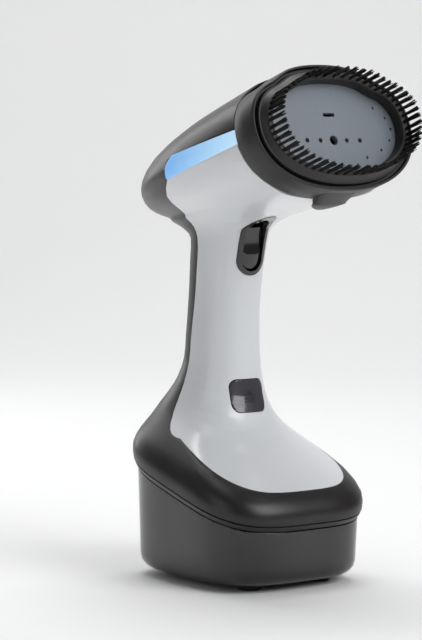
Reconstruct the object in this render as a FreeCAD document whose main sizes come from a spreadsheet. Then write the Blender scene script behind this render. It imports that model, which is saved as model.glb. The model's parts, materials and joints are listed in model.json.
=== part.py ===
"""Handheld garment steamer: a parametric assembly, millimetres, +Z up, +X towards the soleplate.

The handle frame has its Z axis up the middle of the grip and Z = 0 under the feet. The head frame has its
X axis along the nozzle, its Z axis up the soleplate and its origin where the head meets its collar.
"""
import FreeCAD
import Part
import Sketcher
import math
import os

doc = FreeCAD.newDocument("garment_steamer")
V = FreeCAD.Vector

SIZES = {
    # whole object
    "frame_shift": -35.0,      # from the grip's axis to the middle of the object, along X
    "wall": 2.4,               # every outer shell
    "part_gap": 0.35,          # between pieces that move against each other
    "pin_gap": 0.05,           # radial, round a hinge pin
    # base housing
    "base_length": 115.0,
    "base_width": 101.5,
    "base_middle": 22.5,       # X of the base's middle
    "seam_height": 48.5,       # of the seam over the tank, at the base's middle
    "seam_slope": -16.0,       # degrees, low at the front
    "flange_height": 12.0,
    "flare_height": 68.5,      # from the seam to the foot of the grip
    # grip
    "grip_length": 70.0,
    "grip_depth": 43.0,
    "grip_width": 36.0,
    "grip_lean": 6.6,          # how far the grip's top stands ahead of its foot
    # head
    "head_rise": 53.6,         # from the grip's top to the middle of the neck
    "head_reach": 80.9,        # X of the middle of the neck
    "head_slope": 18.5,        # degrees, nozzle axis above the horizontal
    "head_width": 106.0,
    "head_height": 69.0,
    "head_back": 51.0,         # how far the head runs behind the grip's axis
    "strip_height": 7.7,       # of the light strip at the neck
    "strip_length": 68.0,
    # collar, brush and soleplate
    "collar_depth": 12.0,
    "collar_wall": 3.6,
    "collar_spigot": 6.0,
    "skirt_wall": 2.6,
    "rim_depth": 17.0,         # neck to the brush's outer rim
    "brush_depth": 21.0,       # neck to the brush's crown
    "window_width": 86.0,
    "window_height": 49.0,
    "tuft_count": 44,
    "tuft_length": 12.5,
    "tuft_radius": 1.3,
    "brush_travel": 35.0,
    "plate_face": 14.0,
    "plate_thickness": 3.0,
    "steam_hole_radius": 1.3,
    "steam_jet_radius": 2.6,
    "hole_spacing": 8.85,
    # boiler
    "boiler_depth": 30.0,
    "boiler_width": 74.0,
    "boiler_height": 40.0,
    "chamber_depth": 12.0,
    "chamber_rim": 6.0,
    "gasket_thickness": 1.0,
    "element_radius": 3.3,
    "shield_thickness": 1.2,
    "plate_screw_radius": 2.0,
    "thermostat_radius": 8.0,
    "thermostat_height": 5.0,
    "fuse_radius": 2.0,
    "fuse_length": 14.0,
    # trigger
    "trigger_width": 12.6,
    "trigger_height": 25.0,
    "trigger_middle": 182.0,
    "bezel_border": 2.4,
    "bezel_stand": 0.9,
    "pivot_radius": 1.5,
    "trigger_angle": 8.0,
    # release button and latch
    "button_width": 22.0,
    "button_height": 17.5,
    "button_middle": 100.0,
    "button_thickness": 4.0,
    "button_travel": 3.0,
    "lever_thickness": 4.0,
    "lever_width": 8.0,
    "latch_x": 46.0,
    "latch_z": 62.0,
    "hook_reach": 2.0,
    # pump and hoses
    "pump_radius": 13.0,
    "pump_length": 34.0,
    "pump_x": -3.0,
    "pump_foot": 69.0,
    "hose_radius": 3.0,
    "hose_bore": 1.75,
    # boards
    "board_width": 17.0,
    "board_length": 46.0,
    "board_thickness": 1.6,
    "screw_radius": 1.5,
    "screw_head_radius": 3.0,
    # tank
    "tank_wall": 2.0,
    "tank_corner": 8.0,        # rounding of the lower edge
    "foot_height": 3.6,
    "foot_radius": 7.0,
    "floor_thickness": 2.0,
    "floor_rise": 3.5,
    "port_x": 32.0,
    "port_y": -18.0,
    "port_bore": 4.0,
    "port_wall": 2.0,
    "tube_radius": 3.6,
    "tube_bore": 2.4,
    "filter_radius": 6.5,
    "filter_height": 9.0,
    "seal_section": 1.2,
    "filler_radius": 11.0,
    "filler_middle": 40.0,
    "cap_thickness": 2.4,
    "tank_travel": 60.0,
    # cord gland
    "gland_bore": 3.6,
    "gland_wall": 2.4,
    "gland_length": 12.0,
    "gland_z": 84.0,
}

sheet = doc.addObject("Spreadsheet::Sheet", "Sizes")
for row, (alias, value) in enumerate(SIZES.items(), start=1):
    sheet.set("A%d" % row, alias)
    sheet.set("B%d" % row, str(value))
    sheet.setAlias("B%d" % row, alias)
doc.recompute()


def mm(alias):
    """Return one cell of the sheet."""
    return float(getattr(sheet, alias))


pieces = []


def place(piece, frame):
    """Give a piece its place in the object and add it to the list of pieces."""
    shift = FreeCAD.Placement(V(mm("frame_shift"), 0, 0), FreeCAD.Rotation())
    if frame == "head":
        turn = FreeCAD.Rotation(V(0, 1, 0), -mm("head_slope"))
        shift = shift * FreeCAD.Placement(V(mm("head_reach"), 0, neck_z()), turn)
    piece.Placement = shift
    pieces.append(piece)
    return piece


def shaped(label, shape, frame="handle"):
    """A piece whose surface is lofted, so that its shape is set here."""
    piece = doc.addObject("Part::Feature", label)
    piece.Label = label
    piece.Shape = shape
    return place(piece, frame)


def bound(kind, label, **cells):
    """A Part primitive or feature whose properties follow expressions on the sheet."""
    item = doc.addObject(kind, label)
    item.Label = label
    for name, expression in cells.items():
        item.setExpression(name.replace("__", "."), expression)
    return item


def at(item, x="0", y="0", z="0"):
    """Set a primitive's corner or centre by expressions."""
    item.setExpression("Placement.Base.x", x)
    item.setExpression("Placement.Base.y", y)
    item.setExpression("Placement.Base.z", z)
    return item


def joined(label, items):
    """Join primitives into one piece."""
    union = doc.addObject("Part::MultiFuse", label)
    union.Label = label
    union.Shapes = items
    return union


def less(label, base, tool):
    """Cut one item from another."""
    result = doc.addObject("Part::Cut", label)
    result.Label = label
    result.Base = base
    result.Tool = tool
    return result


# ---------------------------------------------------------------- outlines and lofts

def grip_foot():
    return mm("seam_height") + mm("flare_height")


def grip_top():
    return grip_foot() + mm("grip_length")


def neck_z():
    return grip_top() + mm("head_rise")


def power(value, exponent):
    """Signed power, for superellipses."""
    return math.copysign(abs(value) ** exponent, value)


RING_POINTS = 40


def closed_curve(points):
    """A smooth closed wire through points."""
    curve = Part.BSplineCurve()
    curve.interpolate(Points=points, PeriodicFlag=True)
    return Part.Wire([curve.toShape()])


def ring(section, inset=0.0):
    """One cross-section of the body: a superellipse in the plane through its rear and front points."""
    rear_x, rear_z, front_x, front_z, widest_x, half_width, sharp_rear, sharp_front = section
    length = math.hypot(front_x - rear_x, front_z - rear_z)
    along = V((front_x - rear_x) / length, 0, (front_z - rear_z) / length)
    back = (widest_x - rear_x) / (front_x - rear_x) * length
    middle = V(rear_x, 0, rear_z) + along * back
    points = []
    for step in range(RING_POINTS):
        angle = 2 * math.pi * step / RING_POINTS
        cosine, sine = math.cos(angle), math.sin(angle)
        ahead = cosine > 0
        reach = (length - back if ahead else back) - inset
        sharp = sharp_front if ahead else sharp_rear
        run = reach * power(cosine, 2 / sharp)
        side = (half_width - inset) * power(sine, 2 / sharp)
        points.append(middle + along * run + V(0, side, 0))
    return closed_curve(points)


def neck_half_width(height):
    """Half the head's width at a height above the nozzle axis."""
    share = min(1.0, abs(height) / (mm("head_height") / 2))
    return mm("head_width") / 2 * (1 - share ** 2.2) ** (1 / 2.2)


def seam_z(x):
    """Height of the seam plane over a place on the X axis."""
    return mm("seam_height") + (x - mm("base_middle")) * math.tan(math.radians(mm("seam_slope")))


def base_section(rise, slope, grow, middle, sharp):
    """A section of the base: its slope, and how far it has grown from the grip (0) to the base (1)."""
    depth = mm("grip_depth") / 2 + grow * (mm("base_length") - mm("grip_depth")) / 2
    width = mm("grip_width") / 2 + grow * (mm("base_width") - mm("grip_width")) / 2
    x = mm("base_middle") * middle
    z = mm("seam_height") + rise
    angle = math.radians(slope)
    run, climb = depth * math.cos(angle), depth * math.sin(angle)
    return (x - run, z - climb, x + run, z + climb, x, width, sharp, sharp)


def grip_lean(share):
    """How far the grip's middle has moved ahead at a share of its length."""
    return mm("grip_lean") * share ** 2


def grip_section(share, slope, depth, width):
    """A section of the grip at a share of its length; depth and width are multiples of the grip's."""
    half = mm("grip_depth") / 2 * depth
    lean = grip_lean(share)
    angle = math.radians(slope)
    z = grip_foot() + share * mm("grip_length")
    run, climb = half * math.cos(angle), half * math.sin(angle)
    return (lean - run, z - climb, lean + run, z + climb, lean, mm("grip_width") / 2 * width, 2.2, 2.2)


HEAD_OVERRUN = 60.0            # how far the head's sections run past the neck before it is cut


def head_section(rear_x, drop, share, overrun=HEAD_OVERRUN, throat=0.0, sharp_front=5.0):
    """A section of the head from its rear point to the neck, at a share of the neck's half height.

    One low on the head may be wider than the neck, as a throat between head and grip that narrows ahead.
    """
    height = share * mm("head_height") / 2
    slope = math.radians(mm("head_slope"))
    neck = V(mm("head_reach") - height * math.sin(slope), 0, neck_z() + height * math.cos(slope))
    rear = V(rear_x, 0, neck_z() - drop)
    front = neck + (neck - rear).normalize() * overrun
    width = max(neck_half_width(height), throat, mm("grip_width") / 2 if share < 0 else 0)
    return (rear.x, rear.z, front.x, front.z, mm("head_reach") / 2, width, 2.0, sharp_front)


def body_sections():
    """Every section of the body, from the seam up through the grip to the top of the head."""
    slope = mm("seam_slope")
    flare = mm("flare_height")
    flange = mm("flange_height")
    back = -mm("head_back")
    top = grip_top()
    return [
        base_section(0, slope, 0.98, 1, 3.6),
        base_section(flange * 0.35, slope, 1.04, 1, 3.6),
        base_section(flange, slope, 1.05, 0.98, 3.5),
        base_section(flare * 0.292, slope, 0.93, 0.86, 3.3),
        base_section(flare * 0.416, slope, 0.69, 0.52, 3.0),
        base_section(flare * 0.547, slope * 0.97, 0.43, 0.10, 2.7),
        base_section(flare * 0.679, slope * 0.85, 0.24, -0.06, 2.5),
        base_section(flare * 0.825, slope * 0.69, 0.11, -0.05, 2.4),
        base_section(flare, slope * 0.5, 0.035, 0, 2.3),
        grip_section(0.186, -5, 1.02, 1.04),
        grip_section(0.4, -2, 1.0, 1.0),
        grip_section(0.614, 0, 1.0, 1.0),
        grip_section(0.83, 2, 1.04, 1.03),
        grip_section(1.0, 5, 1.1, 1.07),
        (-22, top + 2.0, 33, top + 6.0, 8, mm("grip_width") * 0.56, 2.3, 2.4),
        (-29, top + 4.5, 46, top + 11.5, 12, mm("grip_width") * 0.605, 2.3, 2.5),
        (-36, top + 6.5, 72, top + 17.6, 20, mm("grip_width") * 0.695, 2.2, 2.4),
        head_section(back + 10, 45.5, -0.95, overrun=12.0, throat=mm("grip_width") * 0.79, sharp_front=2.4),
        head_section(back + 5, 44.0, -0.78),
        head_section(back + 2, 41.5, -0.54),
        head_section(back, 36.5, -0.2),
        head_section(back + 0.5, 30.6, 0.17),
        head_section(back + 5, 22.6, 0.5),
        head_section(back + 16, 12.6, 0.76),
        head_section(back + 35, 0.6, 0.91),
        head_section(back + 51, -6.9, 0.985),
    ]


def blended(sections):
    """Add a section half way between each pair, on a smooth curve through all of them."""
    result = []
    last = len(sections) - 1
    for index in range(last):
        before = sections[max(index - 1, 0)]
        here, ahead = sections[index], sections[index + 1]
        beyond = sections[min(index + 2, last)]
        result.append(here)
        result.append(tuple((9 * (b + c) - a - d) / 16 for a, b, c, d in zip(before, here, ahead, beyond)))
    result.append(sections[last])
    return result


def head_placement():
    """The head frame: X along the nozzle, origin in the middle of the neck."""
    turn = FreeCAD.Rotation(V(0, 1, 0), -mm("head_slope"))
    return FreeCAD.Placement(V(mm("head_reach"), 0, neck_z()), turn)


FAR = 400.0                    # larger than the object, for cutting blocks


def block(low, high):
    """A box between two corners."""
    return Part.makeBox(high.x - low.x, high.y - low.y, high.z - low.z, low)


def body_solid(inset=0.0, hollow=False):
    """The whole body as one lofted solid, cut square to the nozzle at the neck.

    A hollow one stops short of the top, so that a shell made with it is closed there.
    """
    sections = blended(body_sections())
    if hollow:
        sections = sections[:-2]
    solid = Part.makeLoft([ring(section, inset) for section in sections], True, True)
    beyond_neck = block(V(0, -FAR, -FAR), V(FAR, FAR, FAR))
    beyond_neck.Placement = head_placement()
    return solid.cut(beyond_neck)


def side_prism(edges):
    """A prism across the whole body from a closed outline of edges in the XZ plane."""
    face = Part.Face(Part.Wire(Part.__sortEdges__(edges)))
    face.translate(V(0, -FAR / 2, 0))
    return face.extrude(V(0, FAR, 0))


def polygon(points):
    """Straight edges through points, closed."""
    return [Part.makeLine(a, b) for a, b in zip(points, points[1:] + points[:1])]


def open_lines(points):
    """Straight edges from each point to the next."""
    return [Part.makeLine(a, b) for a, b in zip(points, points[1:])]


def smooth(points):
    """One smooth open edge through points."""
    curve = Part.BSplineCurve()
    curve.interpolate(points)
    return curve.toShape()


def stadium(width, height, middle_z, low_x, high_x):
    """A prism along X with straight sides and round ends."""
    radius = width / 2
    straight = max(height / 2 - radius, 0.01)
    top, low = middle_z + straight, middle_z - straight
    edges = [
        Part.Arc(V(low_x, radius, top), V(low_x, 0, top + radius), V(low_x, -radius, top)).toShape(),
        Part.makeLine(V(low_x, -radius, top), V(low_x, -radius, low)),
        Part.Arc(V(low_x, -radius, low), V(low_x, 0, low - radius), V(low_x, radius, low)).toShape(),
        Part.makeLine(V(low_x, radius, low), V(low_x, radius, top)),
    ]
    return Part.Face(Part.Wire(edges)).extrude(V(high_x - low_x, 0, 0))


def rounded_box(width, height, corner, middle_z, low_x, high_x):
    """A prism along X with a rounded rectangular section."""
    box = block(V(low_x, -width / 2, middle_z - height / 2), V(high_x, width / 2, middle_z + height / 2))
    long_edges = [edge for edge in box.Edges if abs(edge.tangentAt(edge.FirstParameter).x) > 0.99]
    return box.makeFillet(corner, long_edges)


def rod(start, end, radius):
    """A cylinder from one point to another."""
    way = end - start
    return Part.makeCylinder(radius, way.Length, start, way)


def solids_of(shape):
    """One solid, or a compound of separate solids."""
    return shape.Solids[0] if len(shape.Solids) == 1 else Part.makeCompound(shape.Solids)


# ---------------------------------------------------------------- outer shells

LOW_FALL = math.radians(2.1)       # the strip's lower edge is this much flatter than the nozzle axis
HIGH_FALL = math.radians(5.4)      # and its upper edge
PANEL_FOOT = 18.5                  # the front cover's lower edge in front, above the seam
REAR_SEAM_DROP = 14.0              # the rear cover ends this far below the foot of the grip


def strip_line(offset, fall, length):
    """One edge of the light strip: its rear and front points, offset up from the nozzle axis at the neck."""
    slope = math.radians(mm("head_slope"))
    start = V(mm("head_reach") - offset * math.sin(slope), 0, neck_z() + offset * math.cos(slope))
    run = V(math.cos(slope - fall), 0, math.sin(slope - fall))
    return start - run * length, start + run * HEAD_OVERRUN


def low_strip_line():
    return strip_line(-mm("strip_height") / 2, LOW_FALL, mm("strip_length"))


def panel_prism():
    """Side outline of the front cover: under the light strip, along the grip and above the base."""
    rear, front = low_strip_line()
    foot, top = grip_foot(), grip_top()
    length = mm("grip_length")
    flare_x = 13.0                 # where the rear edge sweeps forward over the base
    edge = [
        rear,
        V(9, 0, neck_z() - 30),
        V(1, 0, neck_z() - 37.6),
        V(-2.5, 0, neck_z() - 41.8),
        V(0.5, 0, top + 5.6),
        V(2.5, 0, top - 3),
        V(0.6, 0, foot + 0.74 * length),
        V(-1.3, 0, foot + 0.54 * length),
        V(-3.6, 0, foot + 0.32 * length),
        V(-5, 0, foot + 0.11 * length),
        V(-7, 0, foot - 13.4),
        V(-5.8, 0, foot - 25),
        V(-1, 0, foot - 32.3),
        V(flare_x, 0, seam_z(flare_x) + PANEL_FOOT + 8.3),
    ]
    low_x = 75.0                   # the lower edge reaches its full depth here
    low = V(low_x, 0, seam_z(low_x) + PANEL_FOOT)
    end = V(FAR, 0, low.z)
    top_right = V(FAR, 0, front.z)
    return side_prism([smooth(edge)] + open_lines([edge[-1], low, end, top_right, front, rear]))


def strip_prism():
    """Side outline of the light strips, with a rounded rear end."""
    low_rear, low_front = low_strip_line()
    round_x = low_rear.x + 9.5     # the rear end is rounded back to here
    whole = strip_line(mm("strip_height") / 2, HIGH_FALL, mm("strip_length"))
    share = (round_x - whole[0].x) / (whole[1].x - whole[0].x)
    high_start = whole[0] + (whole[1] - whole[0]) * share
    rear_end = [low_rear, low_rear + V(-0.6, 0, 4.3), low_rear + V(1.7, 0, 9.4), high_start]
    return side_prism([smooth(rear_end)] + open_lines([high_start, whole[1], low_front, low_rear]))


def seam_slab(low, thickness, length=FAR):
    """A slab parallel to the seam, its lower face a height above it."""
    angle = math.radians(mm("seam_slope"))
    slab = block(V(-length / 2, -FAR / 2, 0), V(length / 2, FAR / 2, thickness * math.cos(angle)))
    slab.Placement = FreeCAD.Placement(V(mm("base_middle"), 0, mm("seam_height") + low),
                                       FreeCAD.Rotation(V(0, 1, 0), -mm("seam_slope")))
    return slab


outer_body = body_solid()
inner_body = body_solid(mm("wall"), hollow=True)
shell = outer_body.cut(inner_body)
# under the head the sections lie almost level, so the wall there is made by lifting the outside
under_head = block(V(mm("grip_lean") + mm("grip_depth") / 2, -FAR, grip_top()), V(FAR, FAR, neck_z() - 12))
lifted = outer_body.copy()
lifted.translate(V(0, 0, mm("wall")))
shell = shell.fuse(outer_body.common(under_head).cut(lifted))
panel = panel_prism()
strips = strip_prism()

TRIGGER_SLACK = 1.3                # above and below the trigger, for its swing
BUTTON_CORNER = 4.5
sleeve_width = mm("trigger_width") + 2 * mm("part_gap")
sleeve_height = mm("trigger_height") + 2 * TRIGGER_SLACK
SLEEVE_BACK = 15.0                 # X of the rear end of the trigger's sleeve
BUTTON_BACK = 10.0                 # X behind the release button's plate

bezel_block = stadium(sleeve_width + 2 * mm("bezel_border"), sleeve_height + 2 * mm("bezel_border"),
                      mm("trigger_middle"), SLEEVE_BACK, FAR)
sleeve_block = stadium(sleeve_width, sleeve_height, mm("trigger_middle"), 0, FAR)
button_hole = rounded_box(mm("button_width") + 2 * mm("part_gap"), mm("button_height") + 2 * mm("part_gap"),
                          BUTTON_CORNER, mm("button_middle"), BUTTON_BACK, FAR)

front_cover = shell.common(panel).cut(bezel_block).cut(button_hole)
shaped("front_cover", solids_of(front_cover))

strip_solids = shell.common(strips).Solids
shaped("light_strip_left", [solid for solid in strip_solids if solid.CenterOfMass.y > 0][0])
shaped("light_strip_right", [solid for solid in strip_solids if solid.CenterOfMass.y < 0][0])

dark_shell = shell.cut(panel).cut(strips)
rear_seam_z = grip_foot() - REAR_SEAM_DROP
below_seam = block(V(-FAR, -FAR, -FAR), V(FAR, FAR, rear_seam_z))

# the cover screws run from the rear cover into the inner frame
FRAME_BACK = -9.0                  # X of the inner frame's rear face
FRAME_FRONT = -6.5
BOSS_END = -13.0                   # X where the screw bosses end, behind the control board
SEAT_DEPTH = 3.5                   # of the screw seats, under the grip's rear surface
SCREW_SHARES = (0.12, 0.62)        # of the grip's length
screw_heights = [grip_foot() + share * mm("grip_length") for share in SCREW_SHARES]
screw_seats = [grip_lean(share) - mm("grip_depth") / 2 + SEAT_DEPTH for share in SCREW_SHARES]

rear_cover = dark_shell.cut(below_seam)
for height in screw_heights:
    boss = rod(V(-FAR / 4, 0, height), V(BOSS_END, 0, height), mm("screw_head_radius") + 1.6)
    rear_cover = rear_cover.fuse(boss.common(outer_body))
for height, seat in zip(screw_heights, screw_seats):
    counterbore = rod(V(-FAR / 4, 0, height), V(seat, 0, height), mm("screw_head_radius") + 0.1)
    rear_cover = rear_cover.cut(counterbore)
    rear_cover = rear_cover.cut(rod(V(-FAR / 4, 0, height), V(0, 0, height), mm("screw_radius")))
shaped("rear_cover", solids_of(rear_cover))

gland_outer = mm("gland_bore") + mm("gland_wall")
GLAND_STEP = 5.0                   # how far the gland stands out behind the housing
rear_wall_x = -29.0
gland_hole = rod(V(-FAR / 4, 0, mm("gland_z")), V(0, 0, mm("gland_z")), gland_outer)
base_housing = dark_shell.common(below_seam).cut(gland_hole)
# a shadow line runs round the flange above the seam
SHADOW_LINE = (3.0, 0.8, 0.9)      # its height above the seam, width and depth
base_housing = base_housing.cut(seam_slab(SHADOW_LINE[0], SHADOW_LINE[1]).cut(body_solid(SHADOW_LINE[2])))
shaped("base_housing", solids_of(base_housing))

screws = []
for height, seat in zip(screw_heights, screw_seats):
    head = rod(V(seat - 2.2, 0, height), V(seat, 0, height), mm("screw_head_radius"))
    shank = rod(V(seat, 0, height), V(FRAME_FRONT, 0, height), mm("screw_radius"))
    driver = block(V(seat - 2.2, -0.5, height - 1.8), V(seat - 1.2, 0.5, height + 1.8))
    screws.append(head.fuse(shank).cut(driver).Solids[0])
shaped("cover_screws", Part.makeCompound(screws))

gland = rod(V(rear_wall_x - 3 - GLAND_STEP, 0, mm("gland_z")), V(rear_wall_x + 6, 0, mm("gland_z")), gland_outer)
collar = rod(V(rear_wall_x + 3, 0, mm("gland_z")), V(rear_wall_x + 6, 0, mm("gland_z")), gland_outer + 2)
gland = gland.fuse(collar)
gland = gland.cut(rod(V(-FAR / 4, 0, mm("gland_z")), V(0, 0, mm("gland_z")), mm("gland_bore")))
shaped("cord_gland", gland.Solids[0])


# ---------------------------------------------------------------- trigger and its sleeve

bezel = bezel_block.cut(sleeve_block).common(body_solid(-mm("bezel_stand")))
pivot = V(20.0, 0, mm("trigger_middle") + 6.5)
EYE_RADIUS = 2.9
EYE_HALF = 5.0
pin_hole = rod(pivot - V(0, 20, 0), pivot + V(0, 20, 0), mm("pivot_radius"))
shaped("trigger_bezel", solids_of(bezel.cut(pin_hole)))

pin_half = sleeve_width / 2 + mm("bezel_border") - 0.3
shaped("trigger_pin", rod(pivot - V(0, pin_half, 0), pivot + V(0, pin_half, 0), mm("pivot_radius")))

PLATE_BACK = 3.2                   # the trigger plate's thickness under the surface
plate = stadium(mm("trigger_width"), mm("trigger_height"), mm("trigger_middle"), 10, FAR)
plate = plate.common(body_solid(0.5)).cut(body_solid(0.5 + PLATE_BACK))
scoop_radius = 26.0
scoop_x = 26.2 + scoop_radius
scoop = rod(V(scoop_x, -20, mm("trigger_middle")), V(scoop_x, 20, mm("trigger_middle")), scoop_radius)
plate = plate.cut(scoop)
web = block(V(18.5, -4.4, pivot.z - 2.6), V(25.5, 4.4, pivot.z + 2.6))
eye = rod(pivot - V(0, EYE_HALF, 0), pivot + V(0, EYE_HALF, 0), EYE_RADIUS)
finger = block(V(13.6, -2.0, mm("trigger_middle") - 4), V(24.0, 2.0, mm("trigger_middle") - 1))
trigger = plate.fuse(web).fuse(eye).fuse(finger)
trigger = trigger.cut(rod(pivot - V(0, 20, 0), pivot + V(0, 20, 0), mm("pivot_radius") + mm("pin_gap")))
shaped("steam_trigger", solids_of(trigger))

coils = []
for side in (-1, 1):
    inner_y = side * (EYE_HALF + 0.1)
    outer_y = side * (sleeve_width / 2 - mm("part_gap"))
    coil = rod(pivot + V(0, inner_y, 0), pivot + V(0, outer_y, 0), mm("pivot_radius") + 1.0)
    coil = coil.cut(rod(pivot - V(0, 20, 0), pivot + V(0, 20, 0), mm("pivot_radius") + 0.25))
    coils.append(coil.Solids[0])
shaped("trigger_spring", Part.makeCompound(coils))

switch = block(V(3.5, -3.2, mm("trigger_middle") - 10), V(10.8, 3.2, mm("trigger_middle") + 4))
plunger = block(V(10.8, -1.2, mm("trigger_middle") - 3.5), V(11.2, 1.2, mm("trigger_middle") - 1.5))
shaped("microswitch", switch.fuse(plunger).Solids[0])


# ---------------------------------------------------------------- release button and latch

button = rounded_box(mm("button_width"), mm("button_height"), BUTTON_CORNER, mm("button_middle"), BUTTON_BACK, FAR)
button = button.common(body_solid(-0.4)).cut(body_solid(mm("button_thickness")))
tail_x = 20.5                      # X of the tail's rear face
TAIL_DROP = 23.0                   # from the button's middle to the tail's lower end
tail = block(V(tail_x, -4, mm("button_middle") - TAIL_DROP), V(tail_x + 2.5, 4, mm("button_middle") - 4))
shaped("tank_release_button", solids_of(button.fuse(tail)))

latch = V(mm("latch_x"), 0, mm("latch_z"))
ARM = mm("lever_thickness") / 2
finger_x = tail_x - 0.5 - ARM      # middle of the lever's finger, just behind the tail
elbow = V(finger_x, 0, latch.z + 9)
tip = V(finger_x, 0, mm("button_middle") - TAIL_DROP + 5 - ARM)
NOSE_Z = 48.0                      # top face of the hook's nose
NOSE_GAP = 0.9                     # between the nose and the catch above it
CATCH_BACK = 47.5                  # X of the catch bar's rear face
CATCH_FRONT = 51.7
shin_x = CATCH_FRONT + 0.5 + ARM


def arm(start, end, half):
    """A flat link between two places in the XZ plane, with round ends."""
    way = (end - start).normalize()
    side = V(-way.z, 0, way.x) * half
    outline = polygon([start + side, end + side, end - side, start - side])
    bar = Part.Face(Part.Wire(outline))
    width = mm("lever_width")
    bar.translate(V(0, -width / 2, 0))
    link = bar.extrude(V(0, width, 0))
    for point in (start, end):
        link = link.fuse(rod(point - V(0, width / 2, 0), point + V(0, width / 2, 0), half))
    return link


knee = V(shin_x, 0, latch.z - 7)
ankle = V(shin_x, 0, NOSE_Z - ARM)
lever = arm(latch, elbow, ARM).fuse(arm(elbow, tip, ARM))
lever = lever.fuse(arm(latch, knee, ARM)).fuse(arm(knee, ankle, ARM))
nose_low = V(CATCH_FRONT - mm("hook_reach"), -mm("lever_width") / 2, NOSE_Z - 3)
lever = lever.fuse(block(nose_low, V(shin_x, mm("lever_width") / 2, NOSE_Z)))
lever = lever.fuse(rod(latch - V(0, mm("lever_width") / 2, 0), latch + V(0, mm("lever_width") / 2, 0), 3.2))
latch_axis = (latch - V(0, 30, 0), latch + V(0, 30, 0))
lever = lever.cut(rod(*latch_axis, mm("pivot_radius") + mm("pin_gap")))
shaped("latch_lever", lever.removeSplitter().Solids[0])

EAR_INNER = 8.0
EAR_OUTER = 11.0
shaped("latch_pin", rod(latch - V(0, EAR_OUTER, 0), latch + V(0, EAR_OUTER, 0), mm("pivot_radius")))
spring_low, spring_high = mm("lever_width") / 2 + 0.3, EAR_INNER - 0.5
latch_spring = rod(latch + V(0, spring_low, 0), latch + V(0, spring_high, 0), mm("pivot_radius") + 1.2)
latch_spring = latch_spring.cut(rod(*latch_axis, mm("pivot_radius") + 0.3))
shaped("latch_spring", latch_spring.Solids[0])


# ---------------------------------------------------------------- base floor, pump and hoses

port = V(mm("port_x"), mm("port_y"), 0)
port_outer = mm("port_bore") + mm("port_wall")
floor_top = mm("floor_rise") + mm("floor_thickness")
ears = block(V(latch.x - 4, -EAR_OUTER, 0), V(latch.x + 3, EAR_OUTER, latch.z + 3))
ears = ears.cut(block(V(0, -EAR_INNER, -1), V(FAR, EAR_INNER, FAR)))
ears = ears.cut(seam_slab(mm("floor_rise") + 0.5 - FAR, FAR))
base_floor = seam_slab(mm("floor_rise"), mm("floor_thickness")).fuse(ears).common(inner_body)
base_floor = base_floor.cut(rod(port, port + V(0, 0, FAR), port_outer + 1.2))
SLOT_HALF = 7.2
base_floor = base_floor.cut(block(V(CATCH_BACK - 2, -SLOT_HALF, 0), V(shin_x + 6.5, SLOT_HALF, latch.z - 9)))
base_floor = base_floor.cut(rod(*latch_axis, mm("pivot_radius")))
shaped("base_floor", solids_of(base_floor))

SPIGOT_FOOT = 46.0
SPIGOT_TOP = 57.0
spigot_radius = mm("port_bore") - 0.45
spigot = rod(port + V(0, 0, SPIGOT_FOOT), port + V(0, 0, SPIGOT_TOP), spigot_radius)
flange = rod(port + V(0, 0, SPIGOT_TOP - 2), port + V(0, 0, SPIGOT_TOP), port_outer + 4)
curb = rod(port + V(0, 0, SPIGOT_FOOT), port + V(0, 0, SPIGOT_TOP), port_outer + 4)
curb = curb.cut(rod(port, port + V(0, 0, SPIGOT_TOP - 2), port_outer + 1.2)).cut(seam_slab(floor_top - FAR, FAR))
spigot = spigot.fuse(flange).fuse(curb)
spigot = spigot.cut(rod(port, port + V(0, 0, FAR), mm("hose_bore")))
shaped("inlet_spigot", solids_of(spigot))


def hose(label, points, bends):
    """A hose along straight runs joined by tangent arcs, with one bend radius at each inner point."""
    edges = []
    start = points[0]
    for before, corner, after, bend in zip(points, points[1:], points[2:], bends):
        back, ahead = (before - corner).normalize(), (after - corner).normalize()
        half = (math.pi - back.getAngle(ahead)) / 2
        reach = bend * math.tan(half)
        centre = corner + (back + ahead).normalize() * (bend / math.cos(half))
        middle = centre + (corner - centre).normalize() * bend
        edges.append(Part.makeLine(start, corner + back * reach))
        edges.append(Part.Arc(corner + back * reach, middle, corner + ahead * reach).toShape())
        start = corner + ahead * reach
    edges.append(Part.makeLine(start, points[-1]))
    path = Part.Wire(edges)
    tubes = []
    for radius in (mm("hose_radius"), mm("hose_bore")):
        circle = Part.Wire([Part.makeCircle(radius, points[0], points[1] - points[0])])
        tubes.append(path.makePipeShell([circle], True, True))
    shaped(label, tubes[0].cut(tubes[1]).Solids[0])


pump_x = mm("pump_x")
pump_foot = mm("pump_foot")
pump_top = pump_foot + mm("pump_length")
hose_level = SPIGOT_TOP + 7.8
pump = bound("Part::Cylinder", "pump_case", Radius="Sizes.pump_radius", Height="Sizes.pump_length")
at(pump, "Sizes.pump_x", "0", "Sizes.pump_foot")
coil_band = bound("Part::Cylinder", "pump_coil", Radius="Sizes.pump_radius + 1.5", Height="Sizes.pump_length * 0.45")
at(coil_band, "Sizes.pump_x", "0", "Sizes.pump_foot + Sizes.pump_length * 0.25")
outlet = bound("Part::Cylinder", "pump_outlet", Radius="Sizes.hose_radius", Height="3")
at(outlet, "Sizes.pump_x", "0", "Sizes.pump_foot + Sizes.pump_length")
place(joined("pump", [pump, coil_band, outlet]), "handle")

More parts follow.
